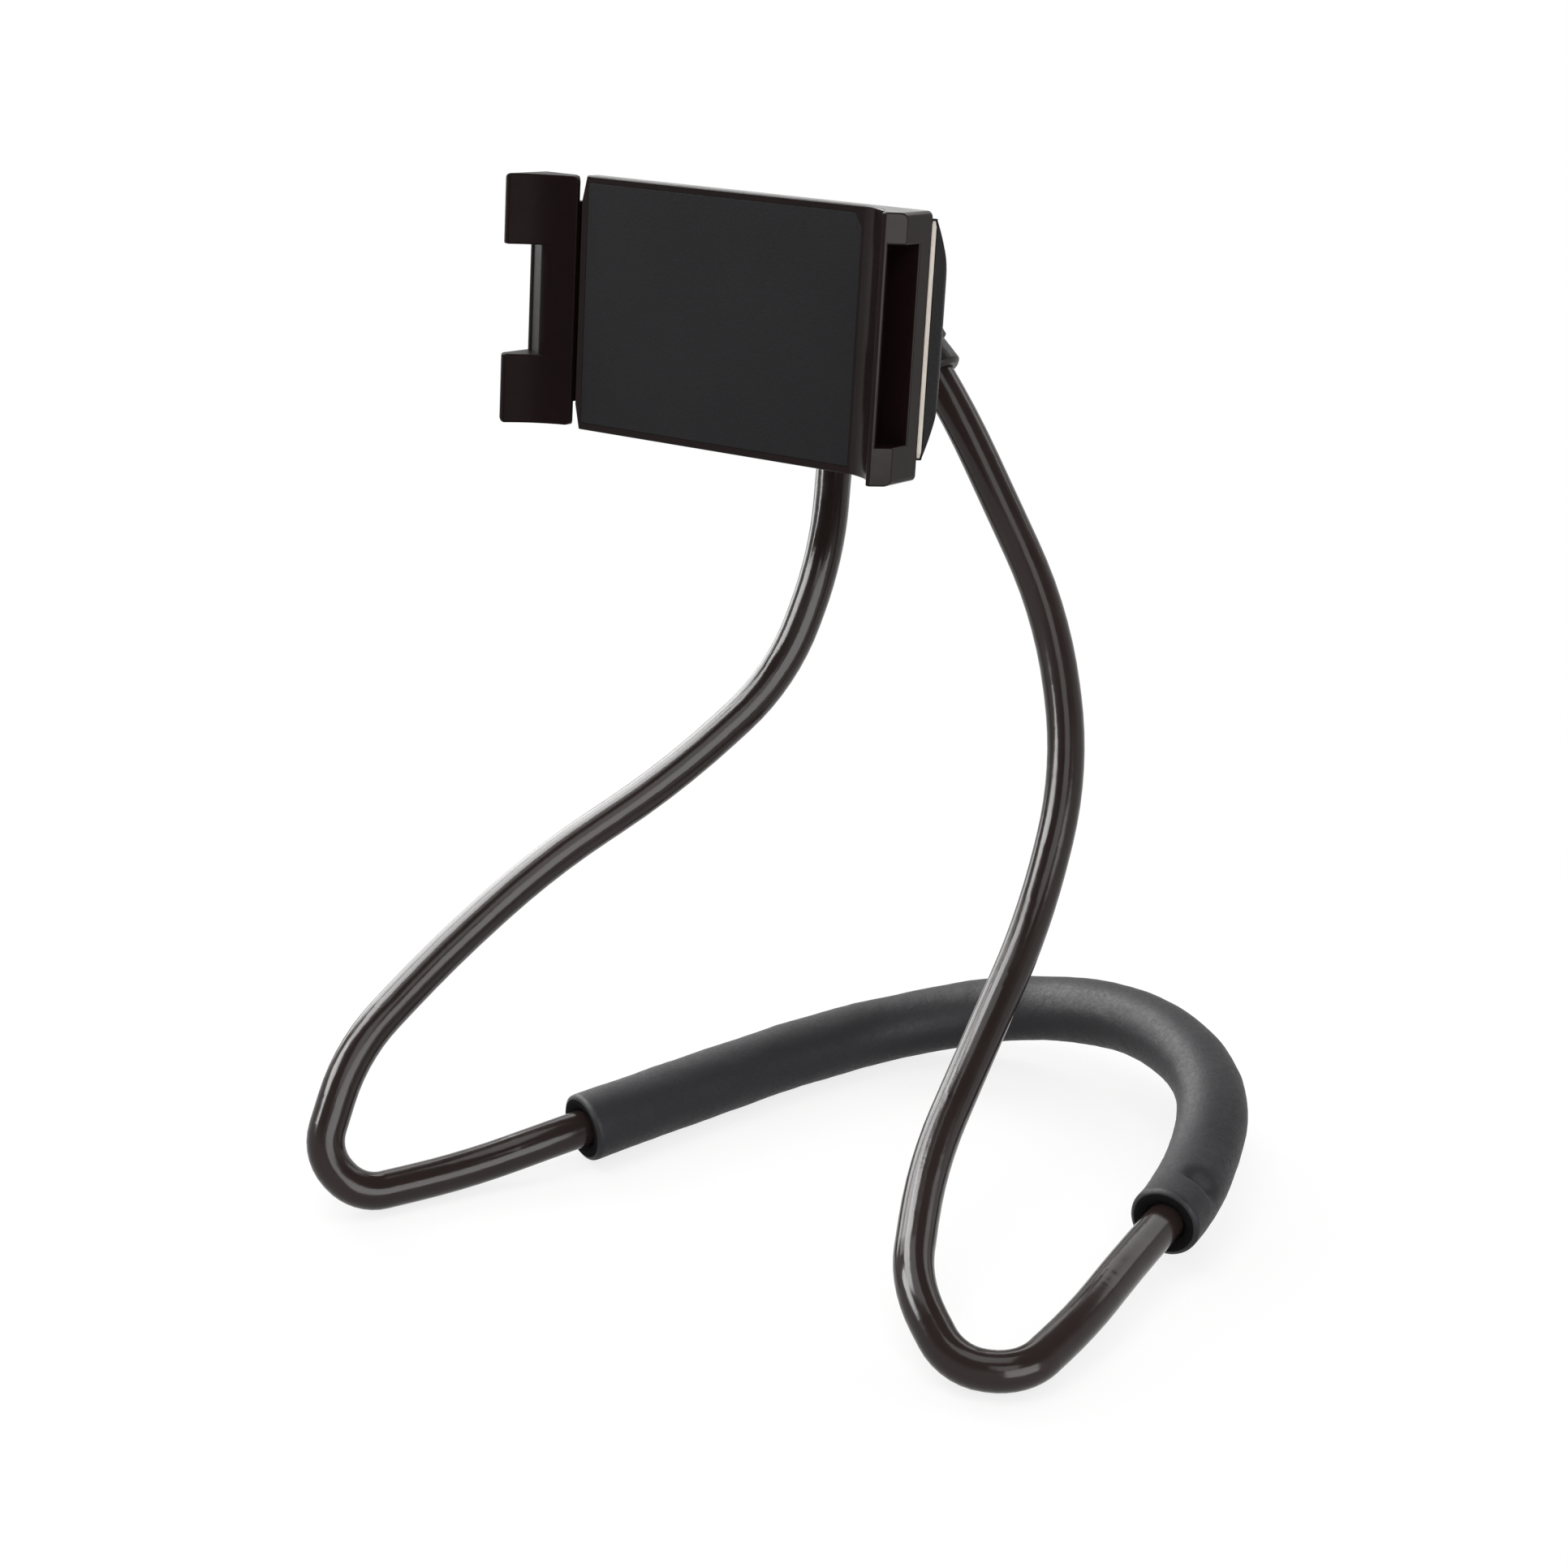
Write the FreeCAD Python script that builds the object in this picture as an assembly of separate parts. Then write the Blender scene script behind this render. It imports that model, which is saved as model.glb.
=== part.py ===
import FreeCAD, Part
import os
from math import cos, radians, sin, sqrt, tan
from FreeCAD import Placement, Rotation, Vector

# Neck phone holder: a bendable covered wire forms a neck loop and two arms that meet in a yoke,
# and a ball head on the yoke carries a spring clamp for a phone.
# Millimetres, +Z up, the object stands on Z = 0 and the clamp looks towards -Y.

# Bendable wire and the foam on the neck loop.
WIRE_D = 7.0
CORE_D = 5.5
SLEEVE_FIT = 0.02
BEND_SHARE = 0.47
FOAM_D = 13.0
FOAM_RIM = 1.4
FOAM_FROM = 243.0
FOAM_TO = 449.0

# Where the middle of the plate's face is, and how far the clamp leans back.
FACE_Z = 154.3
LEAN = 5.7

# Plate, walls and soft face pad of the clamp, measured from the swivel axis.
PLATE_H = 46.6
PLATE_LEFT = 36.8
PLATE_CORNER = (1.0, 4.6)
FACE_WALL = 1.5
WALL = 1.8
EDGE_ROUND = 0.3
PAD_T = 0.7
PAD_MARGIN = 1.3
PAD_SEAM = 0.4
PAD_CORNER = (1.5, 2.5)

# Fixed jaw on the right end of the plate.
JAW_FOOT = 24.0
JAW_RUN = 8.2
JAW_RISE = 7.8
JAW_HOLLOW = 1.5
JAW_CORNER = 1.1
CREST = 0.8
CREST_SLOPE = (2.6, 2.8)
JAW_WALL = 1.2
POCKET_ENDS = (6.8, 5.4)
POCKET_FLOOR = 0.4

# Sliding jaw on the left, its tongue and the side-button notch.
SLIDE_GAP = 1.15
SLIDE_RUN = 9.9
SLIDE_RISE = 7.4
SLIDE_HOLLOW = 1.0
SLIDE_ROUND = 2.1
SLIDE_INSET = 0.4
SLIDE_BACK = 3.4
SLIDE_LIP = 0.8
SLIDE_LIP_REACH = 3.0
NOTCH_H = 20.2
NOTCH_RIDGE = 1.9
NOTCH_ROLL = (2.4, 0.32)
NOTCH_FLOOR = 0.8
NOTCH_EDGE = 1.8
INNER_ROUND = 1.2
TONGUE_INSET = 4.9
TONGUE_T = 1.4
TONGUE_REACH = 43.0
GUIDE_FIT = 0.3
TONGUE_FIT = 0.15
JAW_TRAVEL = 27.0

# Return springs between the tongue and the cover.
SPRING_D = 3.0
SPRING_WIRE = 0.5
EYE_FIT = 0.1
SPRING_SIDE = 6.5
SPRING_FIXED = 28.0
POST_D = 2.0
POST_GAP = 0.4

# Rear cover with the ball socket.
COVER_DEPTH = 7.8
COVER_OUTSET = 0.5
COVER_BEVEL = 0.8
DOME_RIM = 0.01
COVER_END_ROUND = 3.5
COVER_INSET = (3.7, 1.3)
COVER_CEILING = 4.0
COVER_WALL = 2.8
COVER_SHELL = 1.8
RIB_T = 1.4
RIB_SIDE = 14.0
BALL_D = 11.0
BALL_BACK = 13.0
BALL_FIT = 0.3
BOSS_D = 16.0
BOSS_PAST_BALL = 3.0
FINGER_SLOT = 1.2
SCREW_D = 2.0
SCREW_HEAD_D = 3.8
SCREW_HEAD_T = 1.6
SCREW_BOSS_WALL = 1.2
HEAD_ROOM = 0.1
TIP_ROOM = 0.3
COVER_SCREWS = (11.0, 30.0)
COVER_SCREW_SIDE = 12.0
COVER_SCREW_SINK = 2.8

# Ring nut that closes the socket's fingers on the ball.
RING_FIT = 0.3
RING_D = 21.0
RING_LENGTH = 13.8
RING_LIP = 0.8
RING_MOUTH_D = 11.0
RING_FLUTES = 16
FLUTE_D = 2.4

# Yoke, stud and strain-relief collars.
YOKE_FRONT = 13.0
YOKE_T = 14.0
YOKE_D = 19.5
YOKE_WALL = 3.5
YOKE_TURN = 18.0
YOKE_ROUND = 1.2
SPREAD = 22.0
SOCKET_DEEP = 5.0
SOCKET_SIDE = 6.87
SOCKET_D = 11.2
SOCKET_L = 4.6
COLLAR_SEAT_D = 9.0
COLLAR_SEAT_L = 3.4
COLLAR_ROOT_D = 9.6
COLLAR_D = 10.9
COLLAR_L = 6.2
COLLAR_LIP = 0.8
LEAD_L = 20.0
STEM_D = 6.0
STEM_FIT = 0.05
FLANGE_D = 10.4
FLANGE_T = 2.0
END_PLAY = 0.1
WASHER_T = 0.8
STUD_SCREW_D = 3.0
STUD_HEAD_D = 8.0
STUD_HEAD_T = 2.4
POCKET_FIT = 0.6
YOKE_SCREW_R = 7.6
YOKE_SCREW_SINK = 0.6
YOKE_SCREW_FLOOR = 1.3

# Sizes that follow from those above.
TOP = PLATE_H / 2
SLIDE_H = PLATE_H - 2 * SLIDE_INSET
TONGUE_H = PLATE_H - 2 * TONGUE_INSET
COVER_H = PLATE_H - COVER_INSET[0] - COVER_INSET[1]
COVER_UP = (COVER_INSET[0] - COVER_INSET[1]) / 2
SHELL_DEPTH = FACE_WALL + TONGUE_T + 2 * TONGUE_FIT
LEFT = -PLATE_LEFT
RIGHT = JAW_FOOT + JAW_RUN + CREST + CREST_SLOPE[0]
BACK = SHELL_DEPTH + COVER_DEPTH
CEILING = SHELL_DEPTH + COVER_CEILING
SLIDE_RIGHT = LEFT - SLIDE_GAP
SLIDE_CREST_X = SLIDE_RIGHT - SLIDE_RUN
SLIDE_LEFT = SLIDE_CREST_X - SLIDE_ROUND
TONGUE_Y = FACE_WALL + TONGUE_FIT
TONGUE_END = SLIDE_RIGHT + TONGUE_REACH
COVER_LEFT = LEFT + COVER_OUTSET
COVER_RIGHT = RIGHT + COVER_OUTSET
POST_X = COVER_LEFT + COVER_WALL + POST_GAP + JAW_TRAVEL + POST_D / 2
SPRING_Y = (TONGUE_Y + TONGUE_T + CEILING) / 2
BALL_Y = BACK + BALL_BACK
BOSS_END = BALL_Y + BOSS_PAST_BALL
YOKE_Y = BALL_Y + YOKE_FRONT
SPLIT_Y = YOKE_Y + YOKE_T / 2
STEM_END = YOKE_Y + YOKE_WALL + END_PLAY
SCREW_SEAT = BACK - COVER_SCREW_SINK - SCREW_HEAD_T
YOKE_SEAT = YOKE_Y + YOKE_T - YOKE_SCREW_SINK - SCREW_HEAD_T
WIRE_R = WIRE_D / 2
FOAM_R = FOAM_D / 2

# Bends of the wire between the two sockets, from the left arm round the neck to the right arm.
BENDS = [
    (0, 28, 105), (-3, 17, 83), (-15, -3, 66), (-29, -25, 53), (-37, -46, 40), (-42, -67, 27),
    (-41, -78, 11), (-34, -76, WIRE_R), (-24, -58, WIRE_R), (-13, -41, 7),
    (-7, -20, FOAM_R), (2, 8, FOAM_R), (13, 33, FOAM_R), (35, 49, 11), (64, 47, 16), (88, 29, 15),
    (96, 2, 9), (97, -24, 8), (98, -45, 6), (96, -61, WIRE_R), (85, -65, WIRE_R), (73, -59, 12),
    (63, -37, 21), (58, -12, 31), (57, 11, 49), (55, 27, 73), (44, 38, 98),
]

X_AXIS = Vector(1, 0, 0)
Y_AXIS = Vector(0, 1, 0)
Z_AXIS = Vector(0, 0, 1)
LEANING = Placement(Vector(0, 0, FACE_Z), Rotation(X_AXIS, -LEAN))


def closed_wire(items, place):
    """Closed outline: (u, v) is a straight step, ((u, v), (u, v)) an arc through the first to the second."""
    start = place(*items[0])
    here = start
    edges = []
    for item in items[1:]:
        if isinstance(item[0], tuple):
            there = place(*item[1])
            edges.append(Part.Arc(here, place(*item[0]), there).toShape())
        else:
            there = place(*item)
            edges.append(Part.LineSegment(here, there).toShape())
        here = there
    if here.distanceToPoint(start) > 1e-6:
        edges.append(Part.LineSegment(here, start).toShape())
    return Part.Wire(edges)


def plan(items, low, high):
    """Prism over an outline in X and Y, between two heights."""
    face = Part.Face(closed_wire(items, lambda u, v: Vector(u, v, low)))
    return face.extrude(Vector(0, 0, high - low))


def front(items, near, far):
    """Prism over an outline in X and Z, between two depths."""
    face = Part.Face(closed_wire(items, lambda u, v: Vector(u, near, v)))
    return face.extrude(Vector(0, far - near, 0))


def box(x, y, z):
    """Block between pairs of limits."""
    return Part.makeBox(x[1] - x[0], y[1] - y[0], z[1] - z[0], Vector(x[0], y[0], z[0]))


def rod(diameter, near, far, x=0, z=0):
    """Cylinder along Y."""
    return Part.makeCylinder(diameter / 2, far - near, Vector(x, near, z), Y_AXIS)


def turned(items, base, axis):
    """Solid of revolution from (radius, distance along the axis) points."""
    side = axis.cross(Y_AXIS) if abs(axis.dot(Y_AXIS)) < 0.9 else X_AXIS
    face = Part.Face(closed_wire(items, lambda u, v: base + side * u + axis * v))
    return face.revolve(base, axis, 360)


def rounded_corner(corner, before, after, radius):
    """Arc steps that replace the corner of an outline by a tangent arc (right angles only)."""
    into = (corner[0] - before[0], corner[1] - before[1])
    out = (after[0] - corner[0], after[1] - corner[1])
    into_l = sqrt(into[0] ** 2 + into[1] ** 2)
    out_l = sqrt(out[0] ** 2 + out[1] ** 2)
    u = (into[0] / into_l, into[1] / into_l)
    v = (out[0] / out_l, out[1] / out_l)
    first = (corner[0] - u[0] * radius, corner[1] - u[1] * radius)
    last = (corner[0] + v[0] * radius, corner[1] + v[1] * radius)
    cut = 1 - sqrt(0.5)
    middle = (corner[0] + (v[0] - u[0]) * radius * cut, corner[1] + (v[1] - u[1]) * radius * cut)
    return [first, (middle, last)]


def rounded_outline(corners):
    """Outline of right-angled corners given as (u, v, radius)."""
    items = []
    count = len(corners)
    for index, (u, v, radius) in enumerate(corners):
        before = corners[index - 1][:2]
        after = corners[(index + 1) % count][:2]
        items += rounded_corner((u, v), before, after, radius)
    return items


def socket_axis(side):
    """Deep end and outward direction of a wire socket; side is -1 for the left arm and 1 for the right."""
    turn = radians(YOKE_TURN)
    down = Vector(sin(turn), 0, -cos(turn))
    across = Vector(cos(turn), 0, sin(turn))
    deep = Vector(0, SPLIT_Y, 0) + down * SOCKET_DEEP + across * (side * SOCKET_SIDE)
    angle = radians(YOKE_TURN + side * SPREAD)
    return deep, Vector(sin(angle), 0, -cos(angle))


def bent_route(points, share):
    """Straight runs through the points, joined by tangent arcs."""
    edges = []
    start = points[0]
    for before, corner, after in zip(points, points[1:], points[2:]):
        into = corner - before
        out = after - corner
        reach = share * min(into.Length, out.Length)
        turn = into.getAngle(out)
        into.normalize()
        out.normalize()
        radius = reach / tan(turn / 2)
        inward = out - into
        inward.normalize()
        middle = corner + inward * (radius / cos(turn / 2) - radius)
        first = corner - into * reach
        last = corner + out * reach
        edges.append(Part.LineSegment(start, first).toShape())
        edges.append(Part.Arc(first, middle, last).toShape())
        start = last
    edges.append(Part.LineSegment(start, points[-1]).toShape())
    return edges


def stretch(edges, start, stop):
    """The part of a route between two distances along it."""
    kept = []
    passed = 0
    for edge in edges:
        low = max(start - passed, 0)
        high = min(stop - passed, edge.Length)
        if high - low > 0.05:
            first, last = edge.ParameterRange
            pace = (last - first) / edge.Length
            kept.append(edge.Curve.toShape(first + pace * low, first + pace * high))
        passed += edge.Length
    return kept


def pipe(edges, diameter):
    """Round bar along a route."""
    first = edges[0]
    at = first.valueAt(first.FirstParameter)
    ahead = first.tangentAt(first.FirstParameter)
    profile = Part.Face(Part.Wire(Part.makeCircle(diameter / 2, at, ahead)))
    return Part.Wire(edges).makePipe(profile)


def wire_parts():
    """Core, sleeve and foam, in the standing frame."""
    left, left_out = socket_axis(-1)
    right, right_out = socket_axis(1)
    head = [LEANING.multVec(p) for p in (left, left + left_out * LEAD_L)]
    tail = [LEANING.multVec(p) for p in (right + right_out * LEAD_L, right)]
    route = bent_route(head + [Vector(*p) for p in BENDS] + tail, BEND_SHARE)
    core = pipe(route, CORE_D)
    sleeve = pipe(route, WIRE_D).cut(pipe(route, CORE_D + 2 * SLEEVE_FIT))
    neck = stretch(route, FOAM_FROM, FOAM_TO)
    foam = pipe(neck, FOAM_D)
    ends = (neck[0].valueAt(neck[0].FirstParameter), neck[-1].valueAt(neck[-1].LastParameter))
    rims = [e for e in foam.Edges if e.isClosed() and min((e.CenterOfMass - p).Length for p in ends) < 0.01]
    foam = foam.makeFillet(FOAM_RIM, rims).cut(pipe(neck, WIRE_D))
    return core, sleeve, foam


def pad_outline():
    """Face pad seen from the front, with its cut corner beside the fixed jaw."""
    left = LEFT + PAD_MARGIN
    right = JAW_FOOT - PAD_SEAM
    high = TOP - PAD_MARGIN
    return [(left, -high), (right, -high), (right, high - PAD_CORNER[1]),
            (right - PAD_CORNER[0], high), (left, high)]


def jaw_hollow(foot, side, run, rise, hollow):
    """Centre and radius of a jaw's hollow face; side is -1 for a jaw on the left and 1 on the right."""
    chord = sqrt(run ** 2 + rise ** 2)
    radius = (chord ** 2 / 4 + hollow ** 2) / (2 * hollow)
    back_off = radius - hollow
    x = foot + side * (run / 2 - rise / chord * back_off)
    return (x, -rise / 2 - run / chord * back_off), radius


def hollow_point(centre, radius, side, depth):
    """Point of a hollow face at a depth in front of the plate."""
    return (centre[0] + side * sqrt(radius ** 2 - (depth + centre[1]) ** 2), -depth)


def end_edges(shape, left, right):
    """Edges of a plate's two flat ends, in front of its back face, with their middle between two X limits."""
    found = []
    for edge in shape.Edges:
        at = edge.CenterOfMass
        flat = edge.BoundBox.ZLength < 0.001 and abs(abs(at.z) - TOP) < 0.001
        if flat and at.y < SHELL_DEPTH - 0.01 and left < at.x < right:
            found.append(edge)
    return found


def outward_edges(shape, depth):
    """Sharp outward edges of a shape, from a depth forwards."""
    found = []
    for edge in shape.Edges:
        at = edge.valueAt((edge.FirstParameter + edge.LastParameter) / 2)
        faces = shape.ancestorsOfType(edge, Part.Face)
        if at.y < depth and len(faces) == 2:
            one, other = [face.normalAt(*face.Surface.parameter(at)) for face in faces]
            across = one - other
            if across.Length > 0.3 and not shape.isInside(at + across * 0.02, 0.0001, True):
                found.append(edge)
    return found


def make_front_shell():
    """Plate and fixed jaw in one piece, open at the back."""
    crest = JAW_FOOT + JAW_RUN
    centre, hollow_r = jaw_hollow(JAW_FOOT, 1, JAW_RUN, JAW_RISE, JAW_HOLLOW)
    middle = hollow_point(centre, hollow_r, 1, JAW_RISE / 2)
    outline = [(LEFT, 0), (JAW_FOOT, 0), (middle, (crest, -JAW_RISE)),
               (crest + CREST, -JAW_RISE), (RIGHT, CREST_SLOPE[1] - JAW_RISE),
               (RIGHT, SHELL_DEPTH), (LEFT, SHELL_DEPTH)]
    shell = plan(outline, -TOP, TOP)
    shell = shell.makeFillet(JAW_CORNER, end_edges(shell, RIGHT - 0.01, RIGHT + 0.01))
    shell = shell.makeFillet(EDGE_ROUND, end_edges(shell, LEFT + 0.01, RIGHT - JAW_CORNER - 0.01))
    for side in (-1, 1):
        corner = [(LEFT - 1, side * (TOP - PLATE_CORNER[1])), (LEFT, side * (TOP - PLATE_CORNER[1])),
                  (LEFT + PLATE_CORNER[0], side * TOP), (LEFT + PLATE_CORNER[0], side * (TOP + 1)),
                  (LEFT - 1, side * (TOP + 1))]
        shell = shell.cut(front(corner, -1, SHELL_DEPTH + 1))
    inside = TOP - WALL
    shell = shell.cut(box((LEFT + WALL, RIGHT - WALL), (FACE_WALL, SHELL_DEPTH + 1), (-inside, inside)))
    guide = TONGUE_H / 2 + GUIDE_FIT
    shell = shell.cut(box((LEFT - 1, LEFT + WALL + 1), (FACE_WALL, SHELL_DEPTH + 1), (-guide, guide)))
    for side in (-1, 1):
        rail = sorted((side * guide, side * inside))
        shell = shell.fuse(box((LEFT + WALL, TONGUE_END + 2), (FACE_WALL, SHELL_DEPTH), rail))
        for x in COVER_SCREWS:
            boss = SCREW_D + 2 * SCREW_BOSS_WALL
            shell = shell.fuse(rod(boss, FACE_WALL, SHELL_DEPTH, x, side * COVER_SCREW_SIDE))
    depths = (POCKET_FLOOR, JAW_RISE / 2, JAW_RISE)
    wall = [hollow_point(centre, hollow_r + JAW_WALL, 1, depth) for depth in depths]
    pocket = [(RIGHT + 1, -POCKET_FLOOR), wall[0], (wall[1], wall[2]),
              (wall[2][0], -JAW_RISE - 1), (RIGHT + 1, -JAW_RISE - 1)]
    shell = shell.cut(plan(pocket, POCKET_ENDS[0] - TOP, TOP - POCKET_ENDS[1])).removeSplitter()
    shell = shell.makeFillet(EDGE_ROUND, outward_edges(shell, -POCKET_FLOOR / 2))
    shell = shell.cut(front(pad_outline(), -1, PAD_T))
    for x in COVER_SCREWS:
        for side in (-1, 1):
            shell = shell.cut(rod(SCREW_D, FACE_WALL, SHELL_DEPTH + 1, x, side * COVER_SCREW_SIDE))
    return shell


def dome(left, right, high, edge, back):
    """Solid under an arc in Y and Z: depth `edge` at the top and bottom, `back` in the middle."""
    rim = edge + DOME_RIM
    profile = [(SHELL_DEPTH, -high), (SHELL_DEPTH, high), (rim, high), ((back, 0), (rim, -high))]
    side = Part.Face(closed_wire(profile, lambda u, v: Vector(left, u, v + COVER_UP)))
    return side.extrude(Vector(right - left, 0, 0))


def make_rear_cover():
    """Domed cover with guide ribs, spring posts and the slotted ball socket."""
    left = COVER_LEFT
    right = COVER_RIGHT
    high = COVER_H / 2
    ends = COVER_END_ROUND
    cut = 1 - sqrt(0.5)
    lengthways = [(left, SHELL_DEPTH), (right - COVER_BEVEL, SHELL_DEPTH),
                  (right, SHELL_DEPTH + COVER_BEVEL), (right, BACK - ends),
                  ((right - ends * cut, BACK - ends * cut), (right - ends, BACK)),
                  (left + ends, BACK), ((left + ends * cut, BACK - ends * cut), (left, BACK - ends))]
    cover = plan(lengthways, -TOP, TOP).common(dome(left, right, high, SHELL_DEPTH + COVER_BEVEL, BACK))
    hollow_h = high - COVER_WALL
    room = dome(left + COVER_WALL, right - COVER_WALL, hollow_h, SHELL_DEPTH, BACK - COVER_SHELL)
    cover = cover.cut(room.common(box((left, right), (SHELL_DEPTH - 1, CEILING), (-TOP, TOP))))
    cover = cover.fuse(rod(BOSS_D, CEILING, BOSS_END))
    for side in (-1, 1):
        rib = sorted((side * RIB_SIDE, side * (RIB_SIDE + RIB_T)))
        cover = cover.fuse(box((left + COVER_WALL, TONGUE_END + 2), (SHELL_DEPTH, CEILING), rib))
        cover = cover.fuse(rod(POST_D, SPRING_Y - SPRING_WIRE, CEILING, SPRING_FIXED, side * SPRING_SIDE))
        for x in COVER_SCREWS:
            z = side * COVER_SCREW_SIDE
            cover = cover.fuse(rod(SCREW_HEAD_D + SCREW_BOSS_WALL, SHELL_DEPTH, CEILING, x, z))
            cover = cover.cut(rod(SCREW_D, SHELL_DEPTH - 1, BACK, x, z))
            cover = cover.cut(rod(SCREW_HEAD_D + 2 * HEAD_ROOM, SCREW_SEAT, BACK + 1, x, z))
    cover = cover.cut(Part.makeSphere(BALL_D / 2 + BALL_FIT, Vector(0, BALL_Y, 0)))
    slot = (BALL_Y - BALL_D / 2, BOSS_END + 1)
    half = FINGER_SLOT / 2
    cover = cover.cut(box((-BOSS_D, BOSS_D), slot, (-half, half)))
    return cover.cut(box((-half, half), slot, (-BOSS_D, BOSS_D)))


def make_ring_nut():
    """Fluted nut around the socket's fingers."""
    end = BOSS_END + RING_FIT + RING_LIP
    start = end - RING_LENGTH
    bore = BOSS_D / 2 + RING_FIT
    outer = RING_D / 2
    bevel = RING_LIP
    profile = [(bore, start), (outer - bevel, start), (outer, start + bevel), (outer, end - bevel),
               (outer - bevel, end), (RING_MOUTH_D / 2, end), (RING_MOUTH_D / 2, end - RING_LIP),
               (bore, end - RING_LIP)]
    ring = turned(profile, Vector(), Y_AXIS)
    for index in range(RING_FLUTES):
        angle = radians(360 * index / RING_FLUTES)
        reach = outer + FLUTE_D / 4
        ring = ring.cut(rod(FLUTE_D, start - 1, end + 1, reach * cos(angle), reach * sin(angle)))
    return ring


def make_ball_stud():
    """Ball, neck, flange and stem, with a threaded hole in the end."""
    stem = STEM_D / 2
    ball = Part.makeSphere(BALL_D / 2, Vector(0, BALL_Y, 0))
    face = YOKE_Y - END_PLAY
    stud = ball.fuse([rod(STEM_D, BALL_Y, STEM_END), rod(FLANGE_D, face - FLANGE_T, face)])
    hole = rod(STUD_SCREW_D, face - FLANGE_T - stem, STEM_END + 1)
    return stud.cut(hole)


def make_stud_screw():
    """Pan-head screw with a hexagon socket."""
    seat = STEM_END + WASHER_T
    head = STUD_HEAD_D / 2
    profile = [(0, YOKE_Y - FLANGE_T), (STUD_SCREW_D / 2, YOKE_Y - FLANGE_T), (STUD_SCREW_D / 2, seat),
               (head, seat), (head, seat + STUD_HEAD_T / 2), (head * 0.7, seat + STUD_HEAD_T),
               (0, seat + STUD_HEAD_T)]
    key = STUD_SCREW_D / 2
    corners = [(key * cos(radians(60 * k)), key * sin(radians(60 * k))) for k in range(6)]
    socket = front(corners, seat + STUD_HEAD_T / 2, seat + STUD_HEAD_T + 1)
    return turned(profile, Vector(), Y_AXIS).cut(socket)


def yoke_screw_places():
    """Three screws around the pocket, clear of the wire sockets."""
    places = []
    for step in (0, 120, 240):
        angle = radians(YOKE_TURN + step)
        places.append((YOKE_SCREW_R * sin(angle), -YOKE_SCREW_R * cos(angle)))
    return places


def make_yoke():
    """Front and back halves of the yoke, split on the wires' plane."""
    body = rod(YOKE_D, YOKE_Y, YOKE_Y + YOKE_T)
    body = body.makeFillet(YOKE_ROUND, [e for e in body.Edges if e.isClosed() and e.Length > 1])
    for side in (-1, 1):
        deep, out = socket_axis(side)
        start = deep - out * SOCKET_DEEP
        body = body.fuse(Part.makeCylinder(SOCKET_D / 2, SOCKET_L + SOCKET_DEEP, start, out))
    for side in (-1, 1):
        deep, out = socket_axis(side)
        body = body.cut(Part.makeCylinder(WIRE_D / 2, SOCKET_L + 1, deep, out))
        seat = SOCKET_L - COLLAR_SEAT_L
        body = body.cut(Part.makeCylinder(COLLAR_SEAT_D / 2, COLLAR_SEAT_L + 1, deep + out * seat, out))
    body = body.cut(rod(STEM_D + 2 * STEM_FIT, YOKE_Y - 1, SPLIT_Y))
    pocket_d = FLANGE_D + 2 * POCKET_FIT
    body = body.cut(rod(pocket_d, YOKE_Y + YOKE_WALL, YOKE_Y + YOKE_T - YOKE_WALL))
    reach = 3 * YOKE_D
    front_half = body.common(box((-reach, reach), (YOKE_Y - 1, SPLIT_Y), (-reach, reach)))
    back_half = body.common(box((-reach, reach), (SPLIT_Y, YOKE_Y + YOKE_T + 1), (-reach, reach)))
    for x, z in yoke_screw_places():
        front_half = front_half.cut(rod(SCREW_D, YOKE_Y + YOKE_SCREW_FLOOR, SPLIT_Y + 1, x, z))
        back_half = back_half.cut(rod(SCREW_D, SPLIT_Y - 1, YOKE_Y + YOKE_T, x, z))
        back_half = back_half.cut(rod(SCREW_HEAD_D + 2 * HEAD_ROOM, YOKE_SEAT, YOKE_Y + YOKE_T + 1, x, z))
    return front_half, back_half


def make_collar(side):
    """Rubber strain relief around one arm of the wire."""
    deep, out = socket_axis(side)
    seat = SOCKET_L - COLLAR_SEAT_L
    end = SOCKET_L + COLLAR_L
    bore = WIRE_D / 2
    profile = [(bore, seat), (COLLAR_SEAT_D / 2, seat), (COLLAR_SEAT_D / 2, SOCKET_L),
               (COLLAR_ROOT_D / 2, SOCKET_L), (COLLAR_D / 2, end - COLLAR_LIP),
               (COLLAR_D / 2 - COLLAR_LIP, end), (bore, end)]
    return turned(profile, deep, out)


def make_screw(seat, tip, x, z):
    """Small pan-head screw along Y with a cross recess; the head is at the back."""
    head = SCREW_HEAD_D / 2
    profile = [(0, tip), (SCREW_D / 2, tip + SCREW_D / 2), (SCREW_D / 2, seat), (head, seat),
               (head, seat + SCREW_HEAD_T / 2), (head * 0.6, seat + SCREW_HEAD_T), (0, seat + SCREW_HEAD_T)]
    screw = turned(profile, Vector(x, 0, z), Y_AXIS)
    arm = SCREW_HEAD_D * 0.3
    bar = SCREW_HEAD_D * 0.08
    depth = (seat + SCREW_HEAD_T / 2, seat + SCREW_HEAD_T + 1)
    screw = screw.cut(box((x - arm, x + arm), depth, (z - bar, z + bar)))
    return screw.cut(box((x - bar, x + bar), depth, (z - arm, z + arm)))


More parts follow.
